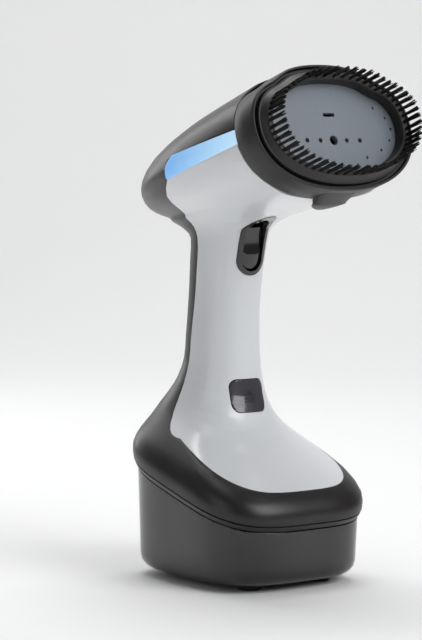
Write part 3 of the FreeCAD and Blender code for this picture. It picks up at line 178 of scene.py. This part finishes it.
def smoked_polycarbonate(name, tint):
    """Smoked polycarbonate, moulded and polished: a dark clear wall with sharp reflections and faint flow marks."""
    material, tree, place = blank(name)
    flow = add(tree, "ShaderNodeTexNoise", {"Scale": per_metre(18), "Detail": 2.0, "Distortion": 0.6},
               {"Vector": place})
    colour = add(tree, "ShaderNodeMix", {MIX_A: opaque(shade(tint, 0.85)), MIX_B: opaque(shade(tint, 1.15))},
                 {0: flow.outputs["Fac"]}, data_type="RGBA")
    relief = add(tree, "ShaderNodeBump", {"Strength": 0.03, "Distance": 0.0004}, {"Height": flow.outputs["Fac"]})
    shader = add(tree, "ShaderNodeBsdfPrincipled",
                 {"Roughness": 0.09, "IOR": 1.58, "Transmission Weight": 0.8, "Coat Weight": 0.15},
                 {"Base Color": colour.outputs[MIX_RESULT], "Normal": relief.outputs["Normal"]})
    add(tree, "ShaderNodeOutputMaterial", links={"Surface": shader.outputs[0]})
    return material


def turned_steel(name, colour, lay):
    """Stainless steel with fine drawing lines along one axis, spaced 0.15 mm and drawn at 0.6 mm so they show."""
    material, tree, place = blank(name)
    scale = [per_metre(0.6)] * 3
    scale["XYZ".index(lay)] = per_metre(25)
    stretch = add(tree, "ShaderNodeMapping", {"Scale": scale}, {"Vector": place})
    lines = add(tree, "ShaderNodeTexNoise", {"Scale": 1.0, "Detail": 2.0}, {"Vector": stretch.outputs["Vector"]})
    mixed = add(tree, "ShaderNodeMix", {MIX_A: opaque(shade(colour, 0.8)), MIX_B: opaque(shade(colour, 1.1))},
                {0: lines.outputs["Fac"]}, data_type="RGBA")
    relief = add(tree, "ShaderNodeBump", {"Strength": 0.15, "Distance": 0.0001}, {"Height": lines.outputs["Fac"]})
    shader = add(tree, "ShaderNodeBsdfPrincipled", {"Metallic": 1.0, "Roughness": 0.32},
                 {"Base Color": mixed.outputs[MIX_RESULT], "Normal": relief.outputs["Normal"]})
    add(tree, "ShaderNodeOutputMaterial", links={"Surface": shader.outputs[0]})
    return material


def make_materials():
    """Every finish of the object, by the name of the part it is used on."""
    colours = bpy.context.scene.steamer_colours
    shell = tuple(colours.shell)
    return {
        # ABS with a pearl lacquer: an even, silky light grey with flakes too fine to see one by one
        "panel": grained("Pearl lacquered ABS", tuple(colours.panel), 0.5, 0.035, 0.3, 0.03, 0.03,
                         **{"Coat Weight": 0.35, "Coat Roughness": 0.15, "IOR": 1.53}),
        # ABS moulded in a spark-eroded tool: satin, with a grain of 0.15 mm, drawn at 0.4 mm so that it shows
        "shell": grained("Satin moulded ABS", shell, 0.4, 0.12, 0.36, 0.03, 0.1, **{"IOR": 1.53}),
        # the same plastic on the brush, a little rougher
        "brush": grained("Textured moulded ABS", shade(shell, 1.05), 0.45, 0.14, 0.44, 0.04, 0.16, **{"IOR": 1.53}),
        # ABS moulded in a polished tool: deep black and mirror-like, with faint handling haze
        "gloss": grained("Polished black ABS", linear("#0C0B0C"), 1.2, 0.1, 0.14, 0.05, 0.01,
                         **{"IOR": 1.53, "Coat Weight": 0.5, "Coat Roughness": 0.05}),
        # ABS, metallised grey under gloss: the release button
        "button": grained("Graphite lacquered ABS", linear("#454348"), 0.5, 0.08, 0.2, 0.03, 0.02,
                          **{"IOR": 1.53, "Metallic": 0.25, "Coat Weight": 0.4}),
        "mark": grained("Printed ink", linear("#0B0B0B"), 0.3, 0.1, 0.5, 0.05, 0.05),
        # ceramic coat fired on aluminium: blue-grey with a speckle of 0.6 mm and a soft shine
        "plate": grained("Speckled ceramic coat", tuple(colours.plate), 0.6, 0.16, 0.33, 0.04, 0.06,
                         **{"IOR": 1.55, "Coat Weight": 0.25, "Coat Roughness": 0.2}),
        # nylon monofilament, drawn and cut: black with a waxy shine
        "bristle": grained("Nylon filament", linear("#0A0909"), 0.8, 0.35, 0.55, 0.05, 0.0,
                           **{"IOR": 1.53, "Specular IOR Level": 0.35}),
        "rubber": grained("Moulded rubber", linear("#222021"), 0.35, 0.15, 0.75, 0.06, 0.25, **{"IOR": 1.52}),
        "silicone": grained("Silicone rubber", linear("#D8D2C6"), 0.8, 0.05, 0.5, 0.05, 0.05,
                            **{"IOR": 1.41, "Transmission Weight": 0.15}),
        "nylon": grained("Glass-filled nylon", linear("#8E8B84"), 0.35, 0.14, 0.6, 0.06, 0.2, **{"IOR": 1.53}),
        "board": grained("Glass epoxy board", linear("#1E5A34"), 0.6, 0.2, 0.35, 0.05, 0.1, **{"IOR": 1.55}),
        "cast": grained("Die-cast aluminium", linear("#B4B5B7"), 0.7, 0.12, 0.42, 0.06, 0.3, **{"Metallic": 1.0}),
        "brass": grained("Turned brass", linear("#C9A24E"), 0.4, 0.1, 0.28, 0.05, 0.1, **{"Metallic": 1.0}),
        "steel": turned_steel("Drawn stainless steel", linear("#C3C4C6"), "Y"),
        "screw": turned_steel("Turned stainless steel", linear("#A9AAAD"), "X"),
        "glow": light_guide("Lit polycarbonate", tuple(colours.glow)),
        "smoke": smoked_polycarbonate("Smoked polycarbonate", tuple(colours.tank)),
    }


MATERIALS = {}


def finish_of(name):
    """A material by its part name, made on first use."""
    if not MATERIALS:
        MATERIALS.update(make_materials())
    return MATERIALS[name]


# ---------------------------------------------------------------- shared mesh work

SHARP = math.radians(38)           # edges steeper than this stay crisp
WELD = 0.00001


def smoothing():
    """A modifier tree that joins a node's split faces and smooths all but its crisp edges."""
    tree = bpy.data.node_groups.get("Join and smooth")
    if tree:
        return tree
    tree = bpy.data.node_groups.new("Join and smooth", "GeometryNodeTree")
    tree.is_modifier = True
    for side in ("INPUT", "OUTPUT"):
        tree.interface.new_socket("Geometry", in_out=side, socket_type="NodeSocketGeometry")
    start = add(tree, "NodeGroupInput")
    weld = add(tree, "GeometryNodeMergeByDistance", {"Distance": WELD}, {"Geometry": start.outputs[0]})
    faces = add(tree, "GeometryNodeSetShadeSmooth", {"Shade Smooth": True}, {"Geometry": weld.outputs[0]},
                domain="FACE")
    angle = add(tree, "GeometryNodeInputMeshEdgeAngle")
    steep = add(tree, "FunctionNodeCompare", {1: SHARP}, {0: angle.outputs["Unsigned Angle"]},
                operation="GREATER_THAN", data_type="FLOAT")
    edges = add(tree, "GeometryNodeSetShadeSmooth", {"Shade Smooth": False},
                {"Geometry": faces.outputs[0], "Selection": steep.outputs["Result"]}, domain="EDGE")
    add(tree, "NodeGroupOutput", links={0: edges.outputs[0]})
    return tree


def settle_normals(piece):
    """Smooth a piece, and let its large faces lead the shading at rounded edges."""
    piece.modifiers.new("Smooth", "NODES").node_group = smoothing()
    lead = piece.modifiers.new("Lead normals", "WEIGHTED_NORMAL")
    lead.keep_sharp = True
    lead.weight = 60


def dress(name, finish, edge=0.0):
    """Give a CAD node its finish, smooth shading and, where asked, rounded edges."""
    node = NODES[name]
    mesh = node.data
    normals = mesh.attributes.get("custom_normal")
    if normals:
        mesh.attributes.remove(normals)
    mesh.materials.clear()
    mesh.materials.append(finish_of(finish))
    node.modifiers.new("Join", "WELD").merge_threshold = WELD
    if edge:
        round_edges(node, edge)
    settle_normals(node)
    return node


def round_edges(piece, width, steps=2, limit=40):
    """Round a piece's crisp edges."""
    bevel = piece.modifiers.new("Rounded edges", "BEVEL")
    bevel.width = width
    bevel.segments = steps
    bevel.limit_method = "ANGLE"
    bevel.angle_limit = math.radians(limit)
    bevel.use_clamp_overlap = True
    return bevel


def piece_of(name, points, faces, finish, body):
    """A new piece from points and faces, with its finish, riding on a body."""
    mesh = bpy.data.meshes.new(name)
    mesh.from_pydata([tuple(point) for point in points], [], faces)
    mesh.validate()
    mesh.update()
    mesh.materials.append(finish_of(finish))
    piece = bpy.data.objects.new(name, mesh)
    bpy.context.scene.collection.objects.link(piece)
    piece.modifiers.new("Smooth", "NODES").node_group = smoothing()
    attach(piece, body)
    return piece


# ---------------------------------------------------------------- head frame

def brush_axis():
    """The nozzle's direction, which the brush pulls off along."""
    joint = [item for item in frame["joints"] if item["child"] == "brush"][0]
    return Vector(joint["axis"]).normalized()


ALONG = brush_axis()
ACROSS = Vector((0, 1, 0))
UPWARD = ALONG.cross(ACROSS)
HEAD_HALF_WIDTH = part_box("brush_frame")[1].y
HEAD_HALF_HEIGHT = 34.5 * MM
NECK = Vector((45.9 * MM, 0, 240.6 * MM))      # middle of the head where its collar starts
ROUNDNESS = 2.2                                # exponent of the head's oval
SHOULDER = math.radians(50)                    # where the oval dips at each upper shoulder
SHOULDER_SPREAD = math.radians(12)
SHOULDER_DIP = 0.045


def in_head(along, across, upward):
    """A place in the head's own frame, in millimetres, as a point in the object's frame."""
    return NECK + (ALONG * along + ACROSS * across + UPWARD * upward) * MM


def oval(angle, inset):
    """Across and upward of the head's oval at an angle, drawn in by an inset in millimetres."""
    half_width = HEAD_HALF_WIDTH / MM - inset
    half_height = HEAD_HALF_HEIGHT / MM - inset
    sine, cosine = math.sin(angle), math.cos(angle)
    dip = 1.0
    if sine > 0:
        dip -= SHOULDER_DIP * math.exp(-((math.asin(sine) - SHOULDER) / SHOULDER_SPREAD) ** 2)
    across = math.copysign(abs(cosine) ** (2 / ROUNDNESS), cosine) * half_width * dip
    upward = math.copysign(abs(sine) ** (2 / ROUNDNESS), sine) * half_height * dip
    return across, upward


# ---------------------------------------------------------------- pieces

class STEAMER_OT_shells(bpy.types.Operator):
    """Finish the front cover, the dark shells and what is let into them"""

    bl_idname = "steamer.shells"
    bl_label = "Shells"

    def execute(self, context):
        edge = context.scene.steamer_sizes.edge
        dress("front_cover", "panel", edge)
        dress("rear_cover", "shell", edge)
        dress("base_housing", "shell", edge)
        dress("cover_screws", "screw")
        dress("cord_gland", "rubber", edge)
        for side in ("left", "right"):
            dress("light_strip_" + side, "glow", 0.2 * MM)
        return {"FINISHED"}


class STEAMER_OT_controls(bpy.types.Operator):
    """Finish the steam trigger, its bezel and the tank release button, and print the button's symbol"""

    bl_idname = "steamer.controls"
    bl_label = "Trigger and button"

    def execute(self, context):
        dress("trigger_bezel", "gloss", 0.5 * MM)
        dress("steam_trigger", "gloss", 0.6 * MM)
        dress("tank_release_button", "button", 0.6 * MM)
        dress("trigger_pin", "steel")
        dress("trigger_spring", "steel")
        dress("microswitch", "nylon")
        release_symbol()
        return {"FINISHED"}


SYMBOL_MIDDLE = 8.75 * MM          # from the button's top edge down to the symbol
SYMBOL_LIFT = 0.12 * MM            # of the ink's middle above the face
INK_THICKNESS = 0.14 * MM


def release_symbol():
    """A plain lift-off symbol, a triangle over two bars, as thin raised ink on the button's curved face."""
    button = NODES["tank_release_button"]
    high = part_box("tank_release_button")[1]
    middle = high.z - SYMBOL_MIDDLE
    tree = BVHTree.FromPolygons([vertex.co for vertex in button.data.vertices],
                                [tuple(face.vertices) for face in button.data.polygons])
    outlines = [[(-3.2, -0.2), (3.2, -0.2), (0.0, 3.1)]]
    outlines += [[(-3.2, foot), (3.2, foot), (3.2, foot + 0.9), (-3.2, foot + 0.9)] for foot in (-1.9, -3.6)]
    points, faces = [], []
    rows, columns = 5, 8
    for outline in outlines:
        bottom, top = min(z for _, z in outline), max(z for _, z in outline)
        half = max(y for y, _ in outline)
        taper = len(outline) == 3
        start = len(points)
        for row in range(rows + 1):
            share = row / rows
            reach = half * (1 - share if taper else 1)
            for column in range(columns + 1):
                y = reach * (2 * column / columns - 1) * MM
                z = middle + (bottom + (top - bottom) * share) * MM
                hit = tree.ray_cast(Vector((high.x + 0.05, y, z)), Vector((-1, 0, 0)))[0]
                points.append(hit + Vector((SYMBOL_LIFT, 0, 0)))
        for row in range(rows):
            for column in range(columns):
                corner = start + row * (columns + 1) + column
                faces.append((corner, corner + 1, corner + columns + 2, corner + columns + 1))
    symbol = piece_of("release_symbol", points, faces, "mark", "release_button")
    thick = symbol.modifiers.new("Ink", "SOLIDIFY")
    thick.thickness = INK_THICKNESS
    thick.offset = 0


class STEAMER_OT_soleplate(bpy.types.Operator):
    """Finish the soleplate, the collar behind it and the boiler"""

    bl_idname = "steamer.soleplate"
    bl_label = "Soleplate and boiler"

    def execute(self, context):
        dress("soleplate", "plate", 0.3 * MM)
        dress("head_collar", "shell", 0.3 * MM)
        dress("soleplate_gasket", "silicone")
        dress("boiler_block", "cast", 0.6 * MM)
        dress("inlet_nipple", "brass")
        dress("soleplate_screws", "screw")
        for name in ("heating_element", "heat_shield", "thermostat"):
            dress(name, "steel")
        dress("thermal_fuse", "nylon")
        return {"FINISHED"}


class STEAMER_OT_brush(bpy.types.Operator):
    """Build the brush: its oval ring with a groove, its thumb tab and its bristles"""

    bl_idname = "steamer.brush"
    bl_label = "Brush"

    def execute(self, context):
        ring = brush_ring()
        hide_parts("brush_frame")
        thumb_tab()
        bristles = bristle_tufts(context.scene.steamer_sizes)
        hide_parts("brush_bristles")
        return {"FINISHED"}


RING_STEPS = 288
# the ring's section, as distance along the nozzle and inset from the oval, in millimetres
RING_SECTION = [
    (0.35, 2.6), (0.35, 0.7), (0.5, 0.25), (0.95, 0.0), (8.0, 0.0), (15.7, 0.0), (16.4, 0.12), (16.85, 0.45),
    (17.0, 0.95), (16.9, 1.35), (16.4, 1.55), (14.7, 1.65), (14.45, 1.9), (14.45, 2.9), (14.7, 3.15), (16.9, 3.25),
    (17.35, 3.4), (17.6, 3.8), (17.62, 4.3), (18.3, 5.0), (19.9, 5.9), (20.6, 6.4), (20.95, 6.9), (21.0, 7.4),
    (21.0, 9.1), (20.85, 9.65), (20.3, 10.0), (14.5, 10.0), (14.4, 9.9), (14.4, 7.9), (14.3, 7.8), (12.5, 7.8),
    (12.35, 7.6), (12.35, 2.7),
]


def brush_ring():
    """The brush's ring: a straight outer skirt, a groove behind its lip and a face that rises to the bristles."""
    points, faces = [], []
    count = len(RING_SECTION)
    for step in range(RING_STEPS):
        angle = 2 * math.pi * step / RING_STEPS
        for along, inset in RING_SECTION:
            points.append(in_head(along, *oval(angle, inset)))
    for step in range(RING_STEPS):
        ahead = (step + 1) % RING_STEPS
        for index in range(count):
            beside = (index + 1) % count
            faces.append((step * count + index, step * count + beside, ahead * count + beside, ahead * count + index))
    return piece_of("brush_ring", points, faces, "brush", "brush")


def thumb_tab():
    """The thumb tab under the ring: a tongue that leaves the skirt low enough to clear the cover."""
    # distance along the nozzle, half width, upper and lower face, in millimetres
    stations = [(14.2, 12.6, -31.8, -33.9), (11.0, 12.8, -31.8, -34.8), (7.0, 12.8, -31.9, -35.8),
                (3.5, 12.4, -32.2, -36.7), (1.2, 11.8, -33.4, -37.3), (0.3, 11.2, -35.3, -37.5),
                (-2.0, 10.0, -35.35, -37.55), (-4.5, 8.4, -35.35, -37.5), (-6.5, 6.6, -35.35, -37.4),
                (-8.2, 4.4, -35.4, -37.2), (-9.3, 2.5, -35.5, -36.95), (-9.85, 1.0, -35.75, -36.5)]
    around = 28
    points, faces = [], []
    for along, half, top, low in stations:
        for step in range(around):
            angle = 2 * math.pi * step / around
            across = math.copysign(abs(math.cos(angle)) ** 0.8, math.cos(angle)) * half
            crown = top - 0.35 * (top - low)
            rise = math.sin(angle) * (top - crown if math.sin(angle) > 0 else crown - low)
            points.append(in_head(along, across, crown + rise))
    for row in range(len(stations) - 1):
        for step in range(around):
            beside = (step + 1) % around
            near, far = row * around, (row + 1) * around
            faces.append((near + step, near + beside, far + beside, far + step))
    faces.append(tuple(reversed(range(around))))
    faces.append(tuple((len(stations) - 1) * around + step for step in range(around)))
    return piece_of("brush_tab", points, faces, "brush", "brush")


CROWN = 20.7                       # distance along the nozzle where the strands start, just inside the crown
ROOT_INSET = 7.6                   # of the row of tufts from the oval
STRAND_RADIUS = 0.26               # several times a real filament's 0.1 mm, so that it shows


def bristle_tufts(sizes):
    """Bristle tufts along the crown, each a bundle of fine strands that spread a little towards their tips."""
    rng = random.Random(7)
    points, faces = [], []
    sides, segments = 4, 3
    for tuft in range(sizes.tufts):
        angle = 2 * math.pi * (tuft + 0.5) / sizes.tufts
        centre = oval(angle, ROOT_INSET)
        for strand in range(sizes.strands):
            turn = rng.uniform(0, 2 * math.pi)
            away = math.sqrt(rng.random()) * sizes.tuft_radius / MM
            spread = 1.0 + rng.uniform(0.25, 0.75)
            lean = (rng.uniform(-0.35, 0.35), rng.uniform(-0.35, 0.35))
            length = sizes.tuft_length / MM * rng.uniform(0.9, 1.0)
            start = len(points)
            for segment in range(segments + 1):
                share = segment / segments
                wide = away * (1 + (spread - 1) * share)
                across = centre[0] + math.cos(turn) * wide + lean[0] * share ** 2
                upward = centre[1] + math.sin(turn) * wide + lean[1] * share ** 2
                thick = STRAND_RADIUS * (1 - 0.25 * share)
                for side in range(sides):
                    around = 2 * math.pi * side / sides
                    points.append(in_head(CROWN + (length + 0.3) * share, across + math.cos(around) * thick,
                                          upward + math.sin(around) * thick))
            for segment in range(segments):
                for side in range(sides):
                    near, far = start + segment * sides, start + (segment + 1) * sides
                    beside = (side + 1) % sides
                    faces.append((near + side, near + beside, far + beside, far + side))
            faces.append(tuple(start + segments * sides + side for side in range(sides)))
            faces.append(tuple(start + side for side in reversed(range(sides))))
    return piece_of("bristle_tufts", points, faces, "bristle", "brush")


class STEAMER_OT_tank(bpy.types.Operator):
    """Finish the water tank, its cover, its filler cap and its feet"""

    bl_idname = "steamer.tank"
    bl_label = "Water tank"

    def execute(self, context):
        dress("water_tank", "smoke", 0.4 * MM)
        dress("tank_cover", "shell", 0.3 * MM)
        dress("filler_cap", "rubber", 0.4 * MM)
        dress("tank_feet", "rubber", 0.5 * MM)
        for name in ("tank_seal", "filler_seal"):
            dress(name, "silicone")
        dress("filler_pin", "steel")
        dress("intake_tube", "silicone")
        dress("intake_filter", "nylon", 0.2 * MM)
        return {"FINISHED"}


class STEAMER_OT_inside(bpy.types.Operator):
    """Finish the pump, the hoses, the boards and the latch inside the shells"""

    bl_idname = "steamer.inside"
    bl_label = "Inner parts"

    def execute(self, context):
        for name in ("base_floor", "inlet_spigot", "pump", "pump_bracket", "inner_frame", "terminal_block",
                     "latch_lever"):
            dress(name, "nylon")
        for name in ("control_board", "lamp_boards"):
            dress(name, "board")
        for name in ("suction_hose", "pressure_hose"):
            dress(name, "silicone")
        for name in ("pump_screws", "latch_pin", "latch_spring"):
            dress(name, "screw")
        return {"FINISHED"}


# ---------------------------------------------------------------- studio

AZIMUTH = math.radians(53.0)       # of the camera, turned from behind -Y towards +X
DISTANCE = 1.35                    # from the grip's axis
EYE_HEIGHT = 0.234
TILT = math.radians(3.98)          # the camera looks down by this much
TURN = math.radians(0.27)
LENS, SENSOR = 137.4, 36.0
GRIP_AXIS = Vector((-0.035, 0, 0))


class STEAMER_OT_studio(bpy.types.Operator):
    """Set up the floor, the soft lights and the camera"""

    bl_idname = "steamer.studio"
    bl_label = "Studio"

    def execute(self, context):
        context.scene.view_settings.view_transform = "Standard"
        studio_sweep()
        studio_world(context.scene)
        towards = Vector((math.sin(AZIMUTH), -math.cos(AZIMUTH), 0))
        right = Vector((math.cos(AZIMUTH), math.sin(AZIMUTH), 0))
        target = Vector((0, 0, 0.15))
        soft_light("Key light", target + towards * 0.75 + right * 0.95 + Vector((0, 0, 0.75)), target, 0.9, 0.9, 11)
        soft_light("Fill light", target + towards * 0.9 - right * 1.0 + Vector((0, 0, 0.35)), target, 0.8, 1.1, 2)
        soft_light("Top light", target - towards * 0.15 + Vector((0, 0, 1.2)), target, 0.9, 0.9, 4.5)
        soft_light("Rim light", target - towards * 0.8 - right * 0.75 + Vector((0, 0, 0.5)), target, 0.3, 1.0, 3)
        wall = Vector((0, 0, 0.9)) - towards * 2.1
        soft_light("Backdrop light", Vector((0, 0, 2.6)) - towards * 0.9, wall, 1.6, 0.6, 30)
        camera = bpy.data.objects.new("Camera", bpy.data.cameras.new("Camera"))
        context.scene.collection.objects.link(camera)
        camera.location = GRIP_AXIS + towards * DISTANCE + Vector((0, 0, EYE_HEIGHT))
        camera.rotation_euler = (math.pi / 2 - TILT, 0, AZIMUTH + TURN)
        camera.data.lens = LENS
        camera.data.sensor_width = SENSOR
        camera.data.clip_start, camera.data.clip_end = 0.05, 20
        context.scene.camera = camera
        return {"FINISHED"}


def studio_sweep():
    """A pale floor that curves up into a wall behind the object."""
    profile = [(-3.0, 0.0), (1.2, 0.0)]
    radius = 0.9
    for step in range(1, 13):
        angle = math.pi / 2 * step / 12
        profile.append((1.2 + radius * math.sin(angle), radius * (1 - math.cos(angle))))
    profile.append((2.1, 4.0))
    away = Vector((-math.sin(AZIMUTH), math.cos(AZIMUTH), 0))
    side = Vector((away.y, -away.x, 0))
    points = [away * run + side * reach + Vector((0, 0, rise)) for run, rise in profile for reach in (-4, 4)]
    faces = [(2 * i, 2 * i + 1, 2 * i + 3, 2 * i + 2) for i in range(len(profile) - 1)]
    mesh = bpy.data.meshes.new("studio_sweep")
    mesh.from_pydata([tuple(point) for point in points], [], faces)
    mesh.shade_smooth()
    # paper roll: matt off-white with a faint fibre mottle
    mesh.materials.append(grained("Background paper", linear("#F4F4F4"), 2.0, 0.01, 0.85, 0.03, 0.02))
    sweep = bpy.data.objects.new("studio_sweep", mesh)
    bpy.context.scene.collection.objects.link(sweep)


def studio_world(scene):
    """An even pale surround."""
    world = bpy.data.worlds.new("Studio")
    world.use_nodes = True
    tree = world.node_tree
    tree.nodes.clear()
    surround = add(tree, "ShaderNodeBackground", {"Color": opaque(linear("#F2F4F6")), "Strength": 0.2})
    add(tree, "ShaderNodeOutputWorld", links={"Surface": surround.outputs[0]})
    scene.world = world


def soft_light(name, place, target, width, height, power):
    """A rectangular softbox that faces a target."""
    lamp = bpy.data.lights.new(name, "AREA")
    lamp.shape = "RECTANGLE"
    lamp.size, lamp.size_y = width, height
    lamp.energy = power
    light = bpy.data.objects.new(name, lamp)
    bpy.context.scene.collection.objects.link(light)
    light.location = place
    light.rotation_mode = "QUATERNION"
    light.rotation_quaternion = (target - place).to_track_quat("-Z", "Y")
    return light


# ---------------------------------------------------------------- add-on

OPERATORS = [STEAMER_OT_shells, STEAMER_OT_controls, STEAMER_OT_soleplate, STEAMER_OT_brush, STEAMER_OT_tank,
             STEAMER_OT_inside, STEAMER_OT_studio]


class STEAMER_PT_sidebar(bpy.types.Panel):
    """Buttons for each group of pieces, with their sizes and colours"""

    bl_idname = "STEAMER_PT_sidebar"
    bl_label = "Garment steamer"
    bl_space_type = "VIEW_3D"
    bl_region_type = "UI"
    bl_category = "Steamer"

    def draw(self, context):
        layout = self.layout
        for group in (context.scene.steamer_sizes, context.scene.steamer_colours):
            for name in group.__annotations__:
                layout.prop(group, name)
        for operator in OPERATORS:
            layout.operator(operator.bl_idname)


CLASSES = [SteamerColours, SteamerSizes, *OPERATORS, STEAMER_PT_sidebar]


def register():
    for item in CLASSES:
        bpy.utils.register_class(item)
    bpy.types.Scene.steamer_sizes = bpy.props.PointerProperty(type=SteamerSizes)
    bpy.types.Scene.steamer_colours = bpy.props.PointerProperty(type=SteamerColours)


def unregister():
    del bpy.types.Scene.steamer_colours
    del bpy.types.Scene.steamer_sizes
    for item in reversed(CLASSES):
        bpy.utils.unregister_class(item)


def main():
    register()
    for operator in OPERATORS:
        area, name = operator.bl_idname.split(".")
        getattr(getattr(bpy.ops, area), name)()


if __name__ == "__main__":
    main()
